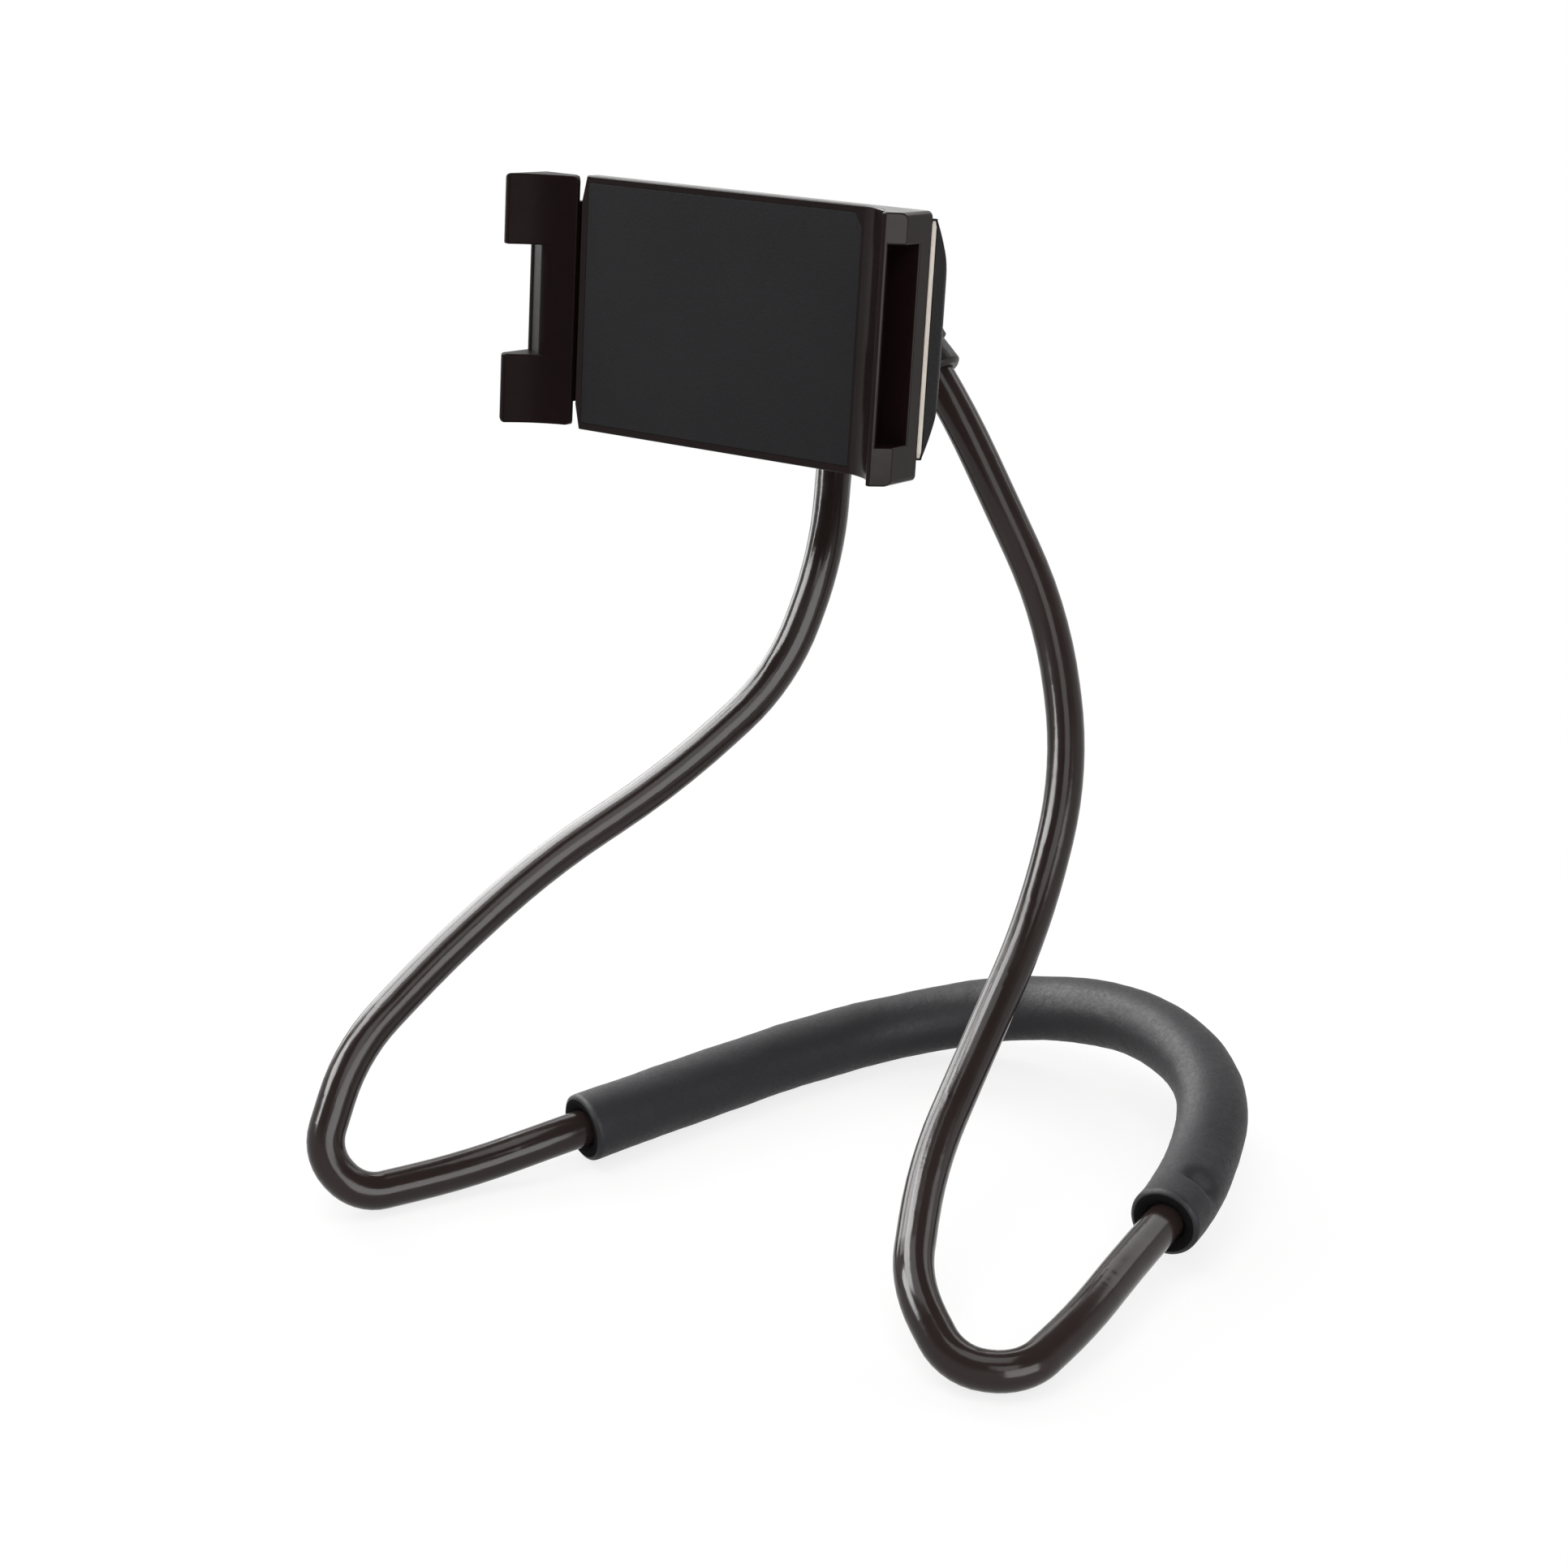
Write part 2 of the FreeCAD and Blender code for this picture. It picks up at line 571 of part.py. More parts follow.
def make_moving_jaw():
    """Sliding jaw with its button notch, and the tongue that runs inside the plate."""
    tall = SLIDE_H / 2
    notch = NOTCH_H / 2
    half = TONGUE_H / 2
    cut = 1 - sqrt(0.5)
    centre, radius = jaw_hollow(SLIDE_RIGHT, -1, SLIDE_RUN, SLIDE_RISE, SLIDE_HOLLOW)
    back = [(SLIDE_LEFT, SLIDE_BACK), (SLIDE_RIGHT - SLIDE_LIP_REACH, SLIDE_BACK), (SLIDE_RIGHT, SLIDE_LIP)]
    bow = (SLIDE_LEFT + SLIDE_ROUND * cut, SLIDE_ROUND * cut - SLIDE_RISE)
    block = [(SLIDE_RIGHT, 0),
             (hollow_point(centre, radius, -1, SLIDE_RISE / 2), (SLIDE_CREST_X, -SLIDE_RISE)),
             (bow, (SLIDE_LEFT, SLIDE_ROUND - SLIDE_RISE))] + back
    ridge = hollow_point(centre, radius, -1, NOTCH_RIDGE)
    roll = (ridge[0] - NOTCH_ROLL[0] / 2, ridge[1] - NOTCH_ROLL[1])
    edge = (SLIDE_LEFT + NOTCH_EDGE * cut, NOTCH_FLOOR + NOTCH_EDGE * cut)
    low = [(SLIDE_RIGHT, 0), (hollow_point(centre, radius, -1, NOTCH_RIDGE / 2), ridge),
           (roll, (ridge[0] - NOTCH_ROLL[0], ridge[1])), (SLIDE_LEFT + NOTCH_EDGE, NOTCH_FLOOR),
           (edge, (SLIDE_LEFT, NOTCH_FLOOR + NOTCH_EDGE))] + back
    jaw = plan(block, -tall, -notch).fuse([plan(low, -notch, notch), plan(block, notch, tall)])
    view = [(SLIDE_RIGHT, -tall, INNER_ROUND), (SLIDE_RIGHT, tall, INNER_ROUND),
            (SLIDE_LEFT, tall, SLIDE_ROUND), (SLIDE_LEFT, -tall, SLIDE_ROUND)]
    jaw = jaw.common(front(rounded_outline(view), -SLIDE_RISE - 1, SLIDE_BACK + 1))
    root = (SLIDE_RIGHT - SLIDE_LIP_REACH, SLIDE_RIGHT)
    jaw = jaw.fuse(box(root, (0.5 * SLIDE_LIP, TONGUE_Y + TONGUE_T), (-half, half)))
    jaw = jaw.fuse(box((root[0], TONGUE_END), (TONGUE_Y, TONGUE_Y + TONGUE_T), (-half, half)))
    for side in (-1, 1):
        jaw = jaw.fuse(rod(POST_D, TONGUE_Y + TONGUE_T, CEILING - POST_GAP, POST_X, side * SPRING_SIDE))
    jaw = jaw.removeSplitter()
    return jaw.makeFillet(EDGE_ROUND, outward_edges(jaw, -SLIDE_ROUND / 20))


def make_spring(side):
    """Close-wound return spring as a plain bar with an eye around each post."""
    z = side * SPRING_SIDE
    eye = POST_D / 2 + SPRING_WIRE / 2 + EYE_FIT
    start = POST_X + eye - EYE_FIT
    length = SPRING_FIXED - eye + EYE_FIT - start
    coil = Part.makeCylinder(SPRING_D / 2, length, Vector(start, SPRING_Y, z), X_AXIS)
    posts = [Vector(x, SPRING_Y, z) for x in (POST_X, SPRING_FIXED)]
    return coil.fuse([Part.makeTorus(eye, SPRING_WIRE / 2, post, Y_AXIS) for post in posts])


yoke_front, yoke_back = make_yoke()
face_pad = front(pad_outline(), 0, PAD_T)
cover_screws = [make_screw(SCREW_SEAT, FACE_WALL + TIP_ROOM, x, side * COVER_SCREW_SIDE)
                for x in COVER_SCREWS for side in (-1, 1)]
tip = YOKE_Y + YOKE_SCREW_FLOOR + TIP_ROOM
yoke_screws = [make_screw(YOKE_SEAT, tip, x, z) for x, z in yoke_screw_places()]
washer = rod(FLANGE_D, STEM_END, STEM_END + WASHER_T).cut(rod(STUD_SCREW_D, STEM_END - 1, SPLIT_Y))

leaning = {
    "left_collar": make_collar(-1),
    "right_collar": make_collar(1),
    "yoke_front": yoke_front,
    "yoke_back": yoke_back,
    "yoke_screws": Part.makeCompound(yoke_screws),
    "ball_stud": make_ball_stud(),
    "stud_washer": washer,
    "stud_screw": make_stud_screw(),
    "rear_cover": make_rear_cover(),
    "ring_nut": make_ring_nut(),
    "front_shell": make_front_shell(),
    "face_pad": face_pad,
    "cover_screws": Part.makeCompound(cover_screws),
    "moving_jaw": make_moving_jaw(),
    "spring_upper": make_spring(1),
    "spring_lower": make_spring(-1),
}
nodes = {name: shape.transformed(LEANING.toMatrix()) for name, shape in leaning.items()}
nodes["core_wire"], nodes["wire_sleeve"], nodes["neck_foam"] = wire_parts()

whole = Part.makeCompound(list(nodes.values())).optimalBoundingBox(False, False)
centre = Vector(-whole.Center.x, -whole.Center.y, -whole.ZMin)
os.makedirs("parts", exist_ok=True)
for name, shape in nodes.items():
    shape.translated(centre).exportStep("parts/" + name + ".step")

# Points on the joints' axes, for the record.
for label, point in (("hub", Vector(0, SPLIT_Y, 0)), ("ball", Vector(0, BALL_Y, 0)), ("face", Vector())):
    print(label, LEANING.multVec(point) + centre)
print("shift", centre, "size", whole.XLength, whole.YLength, whole.ZLength)
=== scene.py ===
# Neck phone holder: finishes, the foam neck sleeve, the seam trim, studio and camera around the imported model.
# Metres, in the model's own frame: +Z up, the clamp looks towards -Y.
import math

import bmesh
import bpy
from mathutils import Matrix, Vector, noise
from mathutils.bvhtree import BVHTree


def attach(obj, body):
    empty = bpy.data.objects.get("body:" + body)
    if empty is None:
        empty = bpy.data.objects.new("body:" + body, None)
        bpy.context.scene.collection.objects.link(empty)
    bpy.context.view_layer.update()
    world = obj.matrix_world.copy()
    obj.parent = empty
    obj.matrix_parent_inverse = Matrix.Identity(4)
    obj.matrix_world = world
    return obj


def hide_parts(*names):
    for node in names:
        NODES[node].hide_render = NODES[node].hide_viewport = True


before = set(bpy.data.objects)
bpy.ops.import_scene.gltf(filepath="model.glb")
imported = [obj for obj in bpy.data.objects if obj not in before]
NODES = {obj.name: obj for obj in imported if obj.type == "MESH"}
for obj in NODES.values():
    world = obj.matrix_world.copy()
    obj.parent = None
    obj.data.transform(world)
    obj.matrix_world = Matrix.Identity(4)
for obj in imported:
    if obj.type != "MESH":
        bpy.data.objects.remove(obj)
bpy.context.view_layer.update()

MM = 0.001

# Camera: where it stands, which way it looks and its focal length on a 36 mm wide square frame.
CAMERA_AT = (0.25729, -0.40097, 0.2586)
CAMERA_TURN = 33.6
CAMERA_DOWN = 20.9
FOCAL_MM = 65.217
FRAME_MM = 36.0
NEAREST = 0.01

# Clamp: the middle of its plate's face, in mm, and how far it leans back, in degrees.
CLAMP_AT = (-26.514, 13.029, 154.3)
CLAMP_LEAN = 5.7

# Trim on the seam, in mm along the clamp's own axes: its line, its lower and upper end, its crowned section
# as points out of the seam and across it, and the share of its width that is left at the tips.
TRIM_AT = (35.7, 3.6)
TRIM_ENDS = (-19.2, 21.6)
TRIM_SECTION = [
    (-0.02, 0.55), (0.12, 0.42), (0.2, 0.2), (0.22, 0.0), (0.2, -0.2), (0.12, -0.42), (-0.02, -0.55),
]
TRIM_TIP = 0.5
TRIM_STEPS = 40

# Foam sleeve of the neck loop: its section, the dish of its ends, how much shorter than its solid it is on
# the left, and how finely it is built.
FOAM_R = 6.5 * MM
FOAM_BORE = 3.6 * MM
FOAM_RIM = 0.8 * MM
FOAM_DISH = 0.7 * MM
FOAM_SHORT = 4.5 * MM
FOAM_SIDES = 72
FOAM_STEP = 0.5 * MM
CAP_LOOPS = 3
BORE_EVERY = 3

# Unevenness of the foam's skin: height and size of its waves.
FOAM_WAVES = [(0.18 * MM, 9 * MM), (0.05 * MM, 2 * MM)]

# Crease in the foam: how far from the right end, degrees round from the top, depth, half its length in
# degrees, and its width on the side of the bend and on the side of the end.
CREASE_AT = 7.5 * MM
CREASE_TURN = -38
CREASE_DEEP = 1.9 * MM
CREASE_SPAN = 28
CREASE_WIDE = (2.2 * MM, 0.5 * MM)

# The wire's bends under the foam and just past its ends, in mm, and the points of the smooth line for each.
NECK_ROUTE = [
    (-60.5, -63.0, 3.5), (-50.5, -45.0, 3.5), (-39.5, -28.0, 7.0), (-33.5, -7.0, 6.5), (-24.5, 21.0, 6.5),
    (-13.5, 46.0, 6.5), (8.5, 62.0, 11.0), (37.5, 60.0, 16.0), (61.5, 42.0, 15.0), (69.5, 15.0, 9.0),
    (70.5, -11.0, 8.0), (71.5, -32.0, 6.0), (69.5, -48.0, 3.5), (58.5, -52.0, 3.5),
]
ROUTE_FINENESS = 40

# Search for the foam's skin: rays at each station, how far out they start, and how far off the skin may be.
PROBE_SIDES = 24
PROBE = 11.0 * MM
PROBE_SLACK = 2.5 * MM

# Small edge rounds on moulded pieces, in mm, and the angles, in degrees, of what is flat and what is an edge.
EDGES = {"rear_cover": 0.15, "face_pad": 0.15, "ring_nut": 0.15, "left_collar": 0.25, "right_collar": 0.25}
EDGE_SEGMENTS = 3
EDGE_ANGLE = 32
FLAT_ANGLE = 0.4
WELD_REACH = 0.002 * MM
FLAT_FACE_WEIGHT = 100

# Sockets of a Mix node for colours, and where most values of a noise lie.
MIX_A, MIX_B, MIX_RESULT = 6, 7, 2
NOISE_LOW, NOISE_HIGH = 0.3, 0.7

# Studio: the floor's half width, its drop below the model and how it turns white away from the model; the
# room's light; the sines of height between which white walls pass into a dim ceiling; where the lamps look.
FLOOR_REACH = 6.0
FLOOR_DROP = 0.0001
FLOOR_WHITE = {"From Min": 0.10, "From Max": 0.32, "To Min": 0.8}
ROOM_STRENGTH = 0.45
CEILING = {"From Min": 0.28, "From Max": 0.65, "To Min": 1.0, "To Max": 0.1}
LAMP_AIM = (0, 0, 0.09)


def linear(colour):
    """Linear RGBA of an sRGB hex colour."""
    parts = [int(colour[i:i + 2], 16) / 255 for i in (1, 3, 5)]
    return [c / 12.92 if c <= 0.04045 else ((c + 0.055) / 1.055) ** 2.4 for c in parts] + [1.0]


def add(tree, kind, links=None, values=None, **settings):
    """Adds one node with its settings, its input values and the outputs that feed its inputs."""
    made = tree.nodes.new(kind)
    for key, value in settings.items():
        setattr(made, key, value)
    for key, value in (values or {}).items():
        made.inputs[key].default_value = value
    for key, output in (links or {}).items():
        tree.links.new(output, made.inputs[key])
    return made


def finish(name, dark, light, patch, grain, depth, rough, **shader):
    """Moulded, drawn or foamed surface: colour clouds, uneven gloss and a fine bumpy grain, sizes in mm."""
    made = bpy.data.materials.new(name)
    made.use_nodes = True
    tree = made.node_tree
    surface = tree.nodes["Principled BSDF"]
    place = add(tree, "ShaderNodeTexCoord").outputs["Object"]
    clouds = add(tree, "ShaderNodeTexNoise", {"Vector": place}, {"Scale": 1 / (patch * MM), "Detail": 4.0})
    colours = {MIX_A: linear(dark), MIX_B: linear(light)}
    tint = add(tree, "ShaderNodeMix", {"Factor": clouds.outputs["Fac"]}, colours, data_type="RGBA")
    tree.links.new(tint.outputs[MIX_RESULT], surface.inputs["Base Color"])
    specks = add(tree, "ShaderNodeTexNoise", {"Vector": place}, {"Scale": 1 / (grain * MM), "Detail": 3.0})
    spread = {"From Min": NOISE_LOW, "From Max": NOISE_HIGH, "To Min": rough[0], "To Max": rough[1]}
    gloss = add(tree, "ShaderNodeMapRange", {"Value": specks.outputs["Fac"]}, spread)
    tree.links.new(gloss.outputs["Result"], surface.inputs["Roughness"])
    relief = add(tree, "ShaderNodeBump", {"Height": specks.outputs["Fac"]}, {"Distance": depth * MM})
    tree.links.new(relief.outputs["Normal"], surface.inputs["Normal"])
    for key, value in shader.items():
        surface.inputs[key.replace("_", " ")].default_value = value
    return made


# Polished ABS, brown-black and moulded in a mirror-bright tool: clear reflections, barely wavy.
gloss_abs = finish(
    "gloss_abs_moulded", "#170d0d", "#1f1414", 18, 2.5, 0.010, (0.13, 0.20), Specular_IOR_Level=0.1,
)
# The same ABS on the sliding jaw, as a copy with painted shade: a darker colour, with a weaker and softer
# shine.
shaded_jaw_abs = finish(
    "gloss_abs_painted_shade", "#150d0d", "#1d1313", 18, 2.5, 0.010, (0.28, 0.38), Specular_IOR_Level=0.02,
)
# Textured ABS, black and moulded in a spark-eroded tool: a soft sheen with a fine grain.
black_abs = finish(
    "black_abs_moulded", "#09090a", "#111113", 14, 0.5, 0.03, (0.36, 0.5), Specular_IOR_Level=0.07,
)
# Silicone pad, charcoal and moulded with a fine matt grain.
pad = finish(
    "silicone_pad_moulded", "#1b1b1d", "#242426", 22, 0.4, 0.04, (0.48, 0.62), Specular_IOR_Level=0.05,
)
# PVC sleeve, dark brown-grey and drawn over the wire: glossy, with slow waves from bending.
pvc = finish(
    "pvc_sleeve_extruded", "#211a19", "#312826", 26, 6.0, 0.08, (0.12, 0.20), Specular_IOR_Level=0.22,
)
# TPE collars, brown-black and moulded: satin.
rubber = finish(
    "tpe_collar_moulded", "#120d0c", "#1c1514", 9, 0.6, 0.04, (0.34, 0.46), Specular_IOR_Level=0.25,
)
# Nitrile foam, slate grey with a closed skin: a soft sheen, with the fine cells showing through.
foam = finish(
    "nitrile_foam_skinned", "#111115", "#19191d", 12, 0.7, 0.06, (0.48, 0.62), Specular_IOR_Level=0.26,
)
# Cut ends and bore of the same foam: open cells, dull and nearly black. They are darker than the skin, partly
# from painted shade.
cut_foam_shaded = finish(
    "nitrile_foam_cut_painted_shade", "#0c0c0d", "#161617", 5, 0.5, 0.15, (0.85, 0.95), Specular_IOR_Level=0.05,
)
# Cream lacquer on the thin steel trim of the seam. Its pale warm colour is a painted highlight along the rear
# cover's bevel, with a satin shine.
seam_highlight_paint = finish(
    "trim_painted_highlight", "#cfc6bb", "#dad1c6", 9, 0.5, 0.004, (0.36, 0.46), Specular_IOR_Level=0.2,
)
# Machined and plated steel: bright, with fine tool marks.
steel = finish("steel_nickel_plated", "#8d8c88", "#a9a8a3", 6, 0.3, 0.01, (0.22, 0.34), Metallic=1.0)
# Soft aluminium wire, drawn: dull silver.
aluminium = finish("aluminium_wire_drawn", "#9a9b9d", "#b4b5b6", 8, 0.4, 0.02, (0.34, 0.46), Metallic=1.0)

FINISHES = {
    gloss_abs: ["front_shell"],
    shaded_jaw_abs: ["moving_jaw"],
    black_abs: ["rear_cover", "ring_nut", "yoke_front", "yoke_back"],
    pad: ["face_pad"],
    pvc: ["wire_sleeve"],
    rubber: ["left_collar", "right_collar"],
    steel: [
        "ball_stud", "stud_washer", "stud_screw", "cover_screws", "yoke_screws",
        "spring_upper", "spring_lower",
    ],
    aluminium: ["core_wire"],
}
for material, names in FINISHES.items():
    for name in names:
        for place in NODES[name].material_slots:
            place.material = material


def soften(name, width):
    """Small rounds on the edges of a moulded piece, width in mm."""
    piece = NODES[name]
    weld = piece.modifiers.new("weld", "WELD")
    weld.merge_threshold = WELD_REACH
    flat = piece.modifiers.new("flat", "DECIMATE")
    flat.decimate_type = "DISSOLVE"
    flat.angle_limit = math.radians(FLAT_ANGLE)
    edge = piece.modifiers.new("edge", "BEVEL")
    edge.width = width * MM
    edge.segments = EDGE_SEGMENTS
    edge.limit_method = "ANGLE"
    edge.angle_limit = math.radians(EDGE_ANGLE)
    edge.use_clamp_overlap = False
    shade = piece.modifiers.new("shade", "WEIGHTED_NORMAL")
    shade.weight = FLAT_FACE_WEIGHT


for name, width in EDGES.items():
    soften(name, width)


def placed(name, data):
    """Object in the scene that holds a mesh, curve, lamp or camera."""
    made = bpy.data.objects.new(name, data)
    bpy.context.scene.collection.objects.link(made)
    return made


def bridge(built, first, second):
    """Ring of faces between two loops that have as many corners."""
    faces = []
    for side in range(len(first)):
        after = (side + 1) % len(first)
        faces.append(built.faces.new((first[side], first[after], second[after], second[side])))
    return faces


def smooth_piece(name, built, *materials):
    """Smoothly shaded object from a finished bmesh."""
    bmesh.ops.recalc_face_normals(built, faces=built.faces)
    mesh = bpy.data.meshes.new(name)
    built.to_mesh(mesh)
    built.free()
    mesh.polygons.foreach_set("use_smooth", [True] * len(mesh.polygons))
    for material in materials:
        mesh.materials.append(material)
    return placed(name, mesh)


def smooth_line(points):
    """Points along the smooth line of a route in mm."""
    curve = bpy.data.curves.new("route", "CURVE")
    curve.dimensions = "3D"
    curve.resolution_u = ROUTE_FINENESS
    spline = curve.splines.new("NURBS")
    spline.points.add(len(points) - 1)
    for point, at in zip(spline.points, points):
        point.co = (at[0] * MM, at[1] * MM, at[2] * MM, 1)
    spline.order_u = 3
    spline.use_endpoint_u = True
    carrier = placed("route", curve)
    bpy.context.view_layer.update()
    line = bpy.data.meshes.new_from_object(carrier)
    found = [v.co.copy() for v in line.vertices]
    bpy.data.objects.remove(carrier)
    bpy.data.meshes.remove(line)
    return found


def paced(points, step):
    """The same line at an even pace."""
    kept = [points[0]]
    for point in points[1:]:
        while (point - kept[-1]).length >= step:
            kept.append(kept[-1] + (point - kept[-1]).normalized() * step)
    return kept


def around(ahead, angle):
    """Direction across a line, turned round it from the top."""
    up = (Vector((0, 0, 1)) - ahead * ahead.z).normalized()
    return up * math.cos(angle) + ahead.cross(up) * math.sin(angle)


def inside(node, line):
    """Stations of a line that lie in a tube, moved to the middle of the tube."""
    body = NODES[node].data
    tree = BVHTree.FromPolygons([v.co for v in body.vertices], [p.vertices for p in body.polygons])
    found = []
    for before, here, after in zip(line, line[1:], line[2:]):
        ahead = (after - before).normalized()
        hits = []
        for side in range(PROBE_SIDES):
            out = around(ahead, side * math.tau / PROBE_SIDES)
            hit = tree.ray_cast(here + out * PROBE, -out, PROBE)[0]
            if hit is not None and abs((hit - here).length - FOAM_R) < PROBE_SLACK:
                hits.append(hit)
        if len(hits) == PROBE_SIDES:
            found.append(sum(hits, Vector()) / PROBE_SIDES)
    return found


def foam_stations():
    """Middle, direction and radius at an even pace along the foam, smaller where the rims are rounded."""
    middle = inside("neck_foam", paced(smooth_line(NECK_ROUTE), FOAM_STEP))
    middle = middle[round(FOAM_SHORT / FOAM_STEP):]
    last = len(middle) - 1
    stations = []
    for index, centre in enumerate(middle):
        ahead = (middle[min(index + 1, last)] - middle[max(index - 1, 0)]).normalized()
        drop = max(FOAM_RIM - min(index, last - index) * FOAM_STEP, 0.0)
        radius = FOAM_R - FOAM_RIM + math.sqrt(FOAM_RIM ** 2 - drop ** 2)
        stations.append((centre, ahead, radius))
    return stations


def crease(to_right_end, angle):
    """How far the foam's skin sinks at the crease: slowly on the side of the bend, sharply near the end."""
    past = CREASE_AT - to_right_end
    wide = CREASE_WIDE[1] if past > 0 else CREASE_WIDE[0]
    turn = math.degrees(angle) - CREASE_TURN
    turn = (turn + 180) % 360 - 180
    return CREASE_DEEP * math.exp(-(past / wide) ** 2 - (turn / CREASE_SPAN) ** 4)


def skin_loop(sleeve, centre, ahead, radius, to_right_end):
    """Loop of the foam's skin at a station: uneven, creased, and flat where it lies on the floor."""
    loop = []
    for side in range(FOAM_SIDES):
        angle = side * math.tau / FOAM_SIDES
        out = around(ahead, angle)
        at = centre + out * radius
        swell = sum(height * noise.noise(at / size) for height, size in FOAM_WAVES)
        at += out * (swell - crease(to_right_end, angle))
        at.z = max(at.z, 0.0)
        loop.append(sleeve.verts.new(at))
    return loop


def round_loop(sleeve, centre, ahead, radius, shift=0.0):
    """Plain round loop at a station, shifted along the line."""
    turns = [side * math.tau / FOAM_SIDES for side in range(FOAM_SIDES)]
    return [sleeve.verts.new(centre + around(ahead, turn) * radius + ahead * shift) for turn in turns]


def foam_sleeve():
    """Foam tube on the neck loop: rounded rims, dished ends, a crease and soft unevenness."""
    stations = foam_stations()
    last = len(stations) - 1
    sleeve = bmesh.new()
    loops = []
    for index, station in enumerate(stations):
        loops.append(skin_loop(sleeve, *station, (last - index) * FOAM_STEP))
    for end, way in ((0, -1), (-1, 1)):
        centre, ahead, radius = stations[end]
        for step in range(CAP_LOOPS):
            share = (step + 1) / CAP_LOOPS
            reach = radius + (FOAM_BORE - radius) * share
            loop = round_loop(sleeve, centre, ahead, reach, -way * FOAM_DISH * share ** 2)
            loops.insert(0 if end == 0 else len(loops), loop)
    for centre, ahead, _ in reversed(stations[2:-2:BORE_EVERY]):
        loops.append(round_loop(sleeve, centre, ahead, FOAM_BORE))
    loops.append(loops[0])
    skin = range(CAP_LOOPS, CAP_LOOPS + last)
    for index, (first, second) in enumerate(zip(loops, loops[1:])):
        for face in bridge(sleeve, first, second):
            face.material_index = 0 if index in skin else 1
    return smooth_piece("neck_sleeve", sleeve, foam, cut_foam_shaded)


neck_sleeve = foam_sleeve()
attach(neck_sleeve, "neck_wire")
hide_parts("neck_foam")


def leaning(x, y, z):
    """Point of the clamp from its own axes in mm: right, back and up from the middle of the plate's face."""
    turn = math.radians(CLAMP_LEAN)
    back = y * math.cos(turn) + z * math.sin(turn)
    up = z * math.cos(turn) - y * math.sin(turn)
    return (Vector((x, back, up)) + Vector(CLAMP_AT)) * MM


def seam_trim():
    """Thin lacquered strip with a crowned face, on the bevel of the rear cover beside the fixed jaw: its pale
    colour is a painted highlight along the seam.
    """
    strip = bmesh.new()
    low, high = TRIM_ENDS
    slant = math.sqrt(0.5)
    loops = []
    for step in range(TRIM_STEPS + 1):
        z = low + (high - low) * step / TRIM_STEPS
        slim = TRIM_TIP if step in (0, TRIM_STEPS) else 1.0
        loop = []
        for out, along in TRIM_SECTION:
            x = TRIM_AT[0] + (out + along * slim) * slant
            y = TRIM_AT[1] + (along * slim - out) * slant
            loop.append(strip.verts.new(leaning(x, y, z)))
        loops.append(loop)
    for first, second in zip(loops, loops[1:]):
        bridge(strip, first, second)
    strip.faces.new(loops[0])
    strip.faces.new(reversed(loops[-1]))
    return smooth_piece("seam_trim", strip, seam_highlight_paint)


trim = seam_trim()
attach(trim, "clamp")


def seen_white(tree):
    """One for camera, mirror and glass rays, none for the rest."""
    path = add(tree, "ShaderNodeLightPath").outputs
    rays = path["Is Camera Ray"]
    for other in ("Is Glossy Ray", "Is Transmission Ray"):
        rays = add(tree, "ShaderNodeMath", {0: rays, 1: path[other]}, operation="MAXIMUM").outputs[0]
    return rays


def studio_floor():
    """Wide pale floor that keeps a soft shadow."""
    mesh = bpy.data.meshes.new("floor")
    reach, level = FLOOR_REACH, -FLOOR_DROP
    corners = [(-reach, -reach, level), (reach, -reach, level), (reach, reach, level), (-reach, reach, level)]
    mesh.from_pydata(corners, [], [(0, 1, 2, 3)])
    # Matt paper, nearly white, that glows white to the camera away from the model.
    paper = bpy.data.materials.new("floor_paper_matt")
    paper.use_nodes = True
    tree = paper.node_tree
    surface = tree.nodes["Principled BSDF"]
    surface.inputs["Base Color"].default_value = linear("#f4f4f3")
    surface.inputs["Roughness"].default_value = 0.9
    surface.inputs["Specular IOR Level"].default_value = 0.1
    glow = add(tree, "ShaderNodeEmission", None, {"Color": linear("#ffffff"), "Strength": 1.0})
    place = add(tree, "ShaderNodeTexCoord").outputs["Object"]
    away = add(tree, "ShaderNodeVectorMath", {0: place}, operation="LENGTH").outputs["Value"]
    fade = add(tree, "ShaderNodeMapRange", {"Value": away}, FLOOR_WHITE).outputs["Result"]
    white = add(tree, "ShaderNodeMath", {0: fade, 1: seen_white(tree)}, operation="MULTIPLY").outputs[0]
    both = add(tree, "ShaderNodeMixShader", {0: white, 1: surface.outputs[0], 2: glow.outputs[0]})
    tree.links.new(both.outputs[0], tree.nodes["Material Output"].inputs["Surface"])
    mesh.materials.append(paper)
    made = placed("floor", mesh)


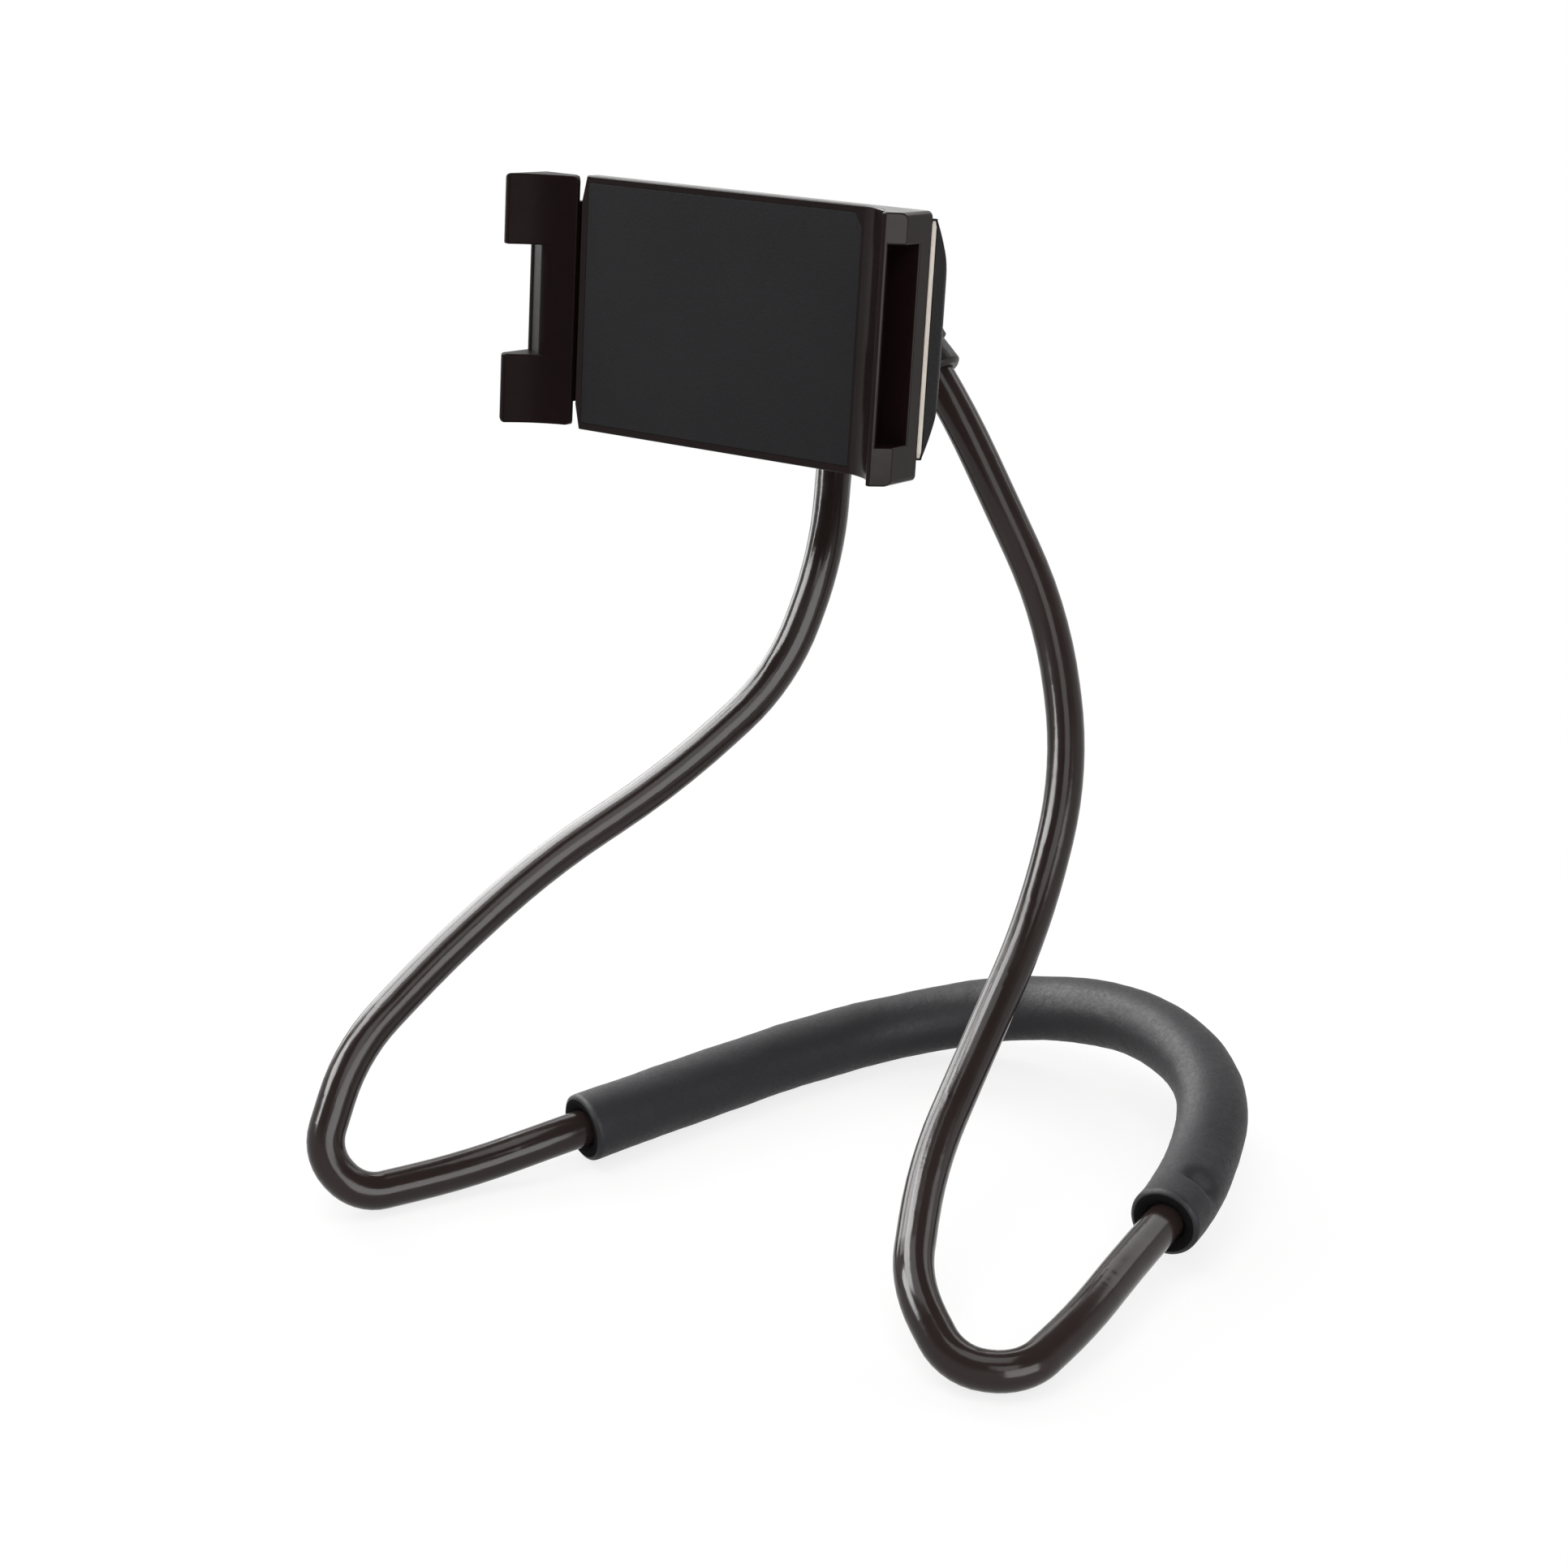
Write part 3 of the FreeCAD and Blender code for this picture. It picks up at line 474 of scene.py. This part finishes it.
def room_light():
    """Even grey room light; the camera and mirrors see white walls under a dim ceiling."""
    world = bpy.data.worlds.new("studio")
    bpy.context.scene.world = world
    world.use_nodes = True
    tree = world.node_tree
    tree.nodes.clear()
    dim = add(tree, "ShaderNodeBackground", None, {"Color": linear("#ffffff"), "Strength": ROOM_STRENGTH})
    way = add(tree, "ShaderNodeTexCoord").outputs["Generated"]
    height = add(tree, "ShaderNodeSeparateXYZ", {"Vector": way}).outputs["Z"]
    walls = add(tree, "ShaderNodeMapRange", {"Value": height}, CEILING).outputs["Result"]
    white = add(tree, "ShaderNodeBackground", {"Strength": walls}, {"Color": linear("#ffffff")})
    both = add(tree, "ShaderNodeMixShader", {0: seen_white(tree), 1: dim.outputs[0], 2: white.outputs[0]})
    add(tree, "ShaderNodeOutputWorld", {"Surface": both.outputs[0]})


def softbox(name, at, size, watts, lights_all=True):
    """Soft lamp of a width and height that looks at the middle of the object, or a panel for gloss alone."""
    lamp = bpy.data.lights.new(name, "AREA")
    lamp.shape = "RECTANGLE"
    lamp.size, lamp.size_y = size
    lamp.energy = watts
    made = placed(name, lamp)
    made.location = at
    made.rotation_euler = (Vector(LAMP_AIM) - Vector(at)).to_track_quat("-Z", "Y").to_euler()
    made.visible_camera = False
    made.visible_diffuse = lights_all


studio_floor()
room_light()
# Soft light on everything: from the left, along the back, from above and a weak fill from the front.
softbox("side_left", (-0.95, 0.35, 0.40), (0.6, 0.75), 8.0)
softbox("back_strip", (-0.08, 0.90, 0.78), (1.8, 0.35), 6.0)
softbox("overhead", (-0.15, -0.1, 1.2), (0.7, 0.7), 5.0)
softbox("front_fill", (0.60, -0.66, 0.90), (0.6, 0.5), 3.0)
# Panels that show in gloss alone: on the fixed jaw, in two steps along the left arm, and on the right arm.
softbox("gloss_right", (0.85, -0.45, 0.25), (0.8, 0.7), 11.0, lights_all=False)
softbox("gloss_high", (-0.75, -0.14, 1.13), (1.1, 0.6), 40.0, lights_all=False)
softbox("gloss_low", (-1.05, 0.24, 0.72), (0.7, 0.5), 6.0, lights_all=False)
softbox("gloss_left", (-0.77, -0.60, 0.61), (0.62, 0.40), 17.0, lights_all=False)

camera = bpy.data.cameras.new("camera")
camera.sensor_fit = "HORIZONTAL"
camera.sensor_width = FRAME_MM
camera.lens = FOCAL_MM
camera.clip_start = NEAREST
camera_stand = placed("camera", camera)
camera_stand.location = CAMERA_AT
camera_stand.rotation_euler = (math.radians(90 - CAMERA_DOWN), 0, math.radians(CAMERA_TURN))
bpy.context.scene.camera = camera_stand
bpy.context.scene.view_settings.view_transform = "Standard"
